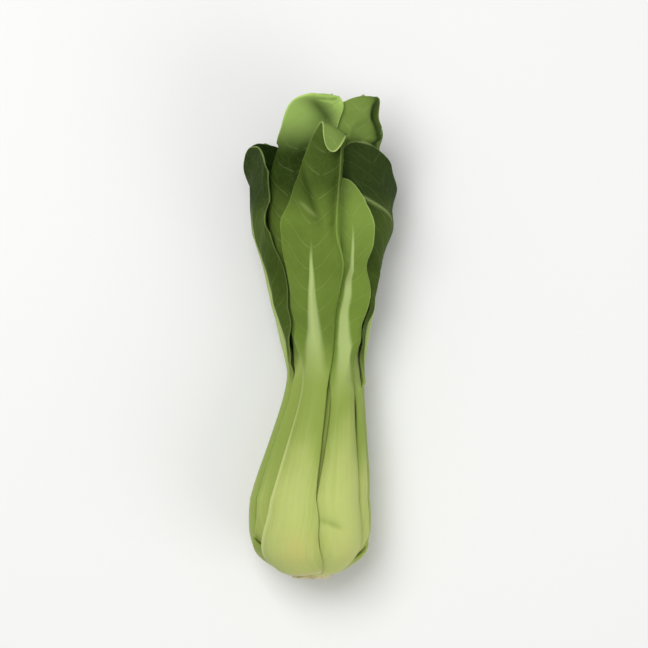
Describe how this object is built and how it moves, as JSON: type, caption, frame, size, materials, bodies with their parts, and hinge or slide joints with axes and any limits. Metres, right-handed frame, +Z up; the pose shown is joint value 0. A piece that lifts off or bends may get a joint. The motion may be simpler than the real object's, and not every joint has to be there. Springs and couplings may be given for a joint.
{
  "type": "baby bok choy",
  "caption": "Whole head of baby bok choy, cut at the base and lying on its side: a bulb of pale fleshy stalks that open into dark green spoon-shaped leaves.",
  "frame": {"origin": "middle of the head's box, at the surface that it lies on", "axes": "+Y from the cut butt to the leaf tips, +Z up from the surface, +X to the right seen from above with the tips away"},
  "size_m": [0.0596, 0.1822, 0.0589],
  "materials": {
    "stalk": "smooth waxy, pale yellow-green",
    "blade": "soft satin, mid to dark green",
    "stem": "matt cut flesh, cream"
  },
  "bodies": {
    "root": {"stem": "stem", "stalk_01": "stalk", "stalk_02": "stalk", "stalk_03": "stalk", "stalk_04": "stalk", "stalk_05": "stalk", "stalk_06": "stalk", "stalk_07": "stalk", "stalk_08": "stalk", "stalk_09": "stalk", "stalk_10": "stalk", "stalk_11": "stalk", "stalk_12": "stalk", "blade_01": "blade", "blade_02": "blade", "blade_03": "blade", "blade_04": "blade", "blade_05": "blade", "blade_06": "blade", "blade_07": "blade", "blade_08": "blade", "blade_09": "blade", "blade_10": "blade", "blade_11": "blade", "blade_12": "blade"}
  },
  "joints": []
}
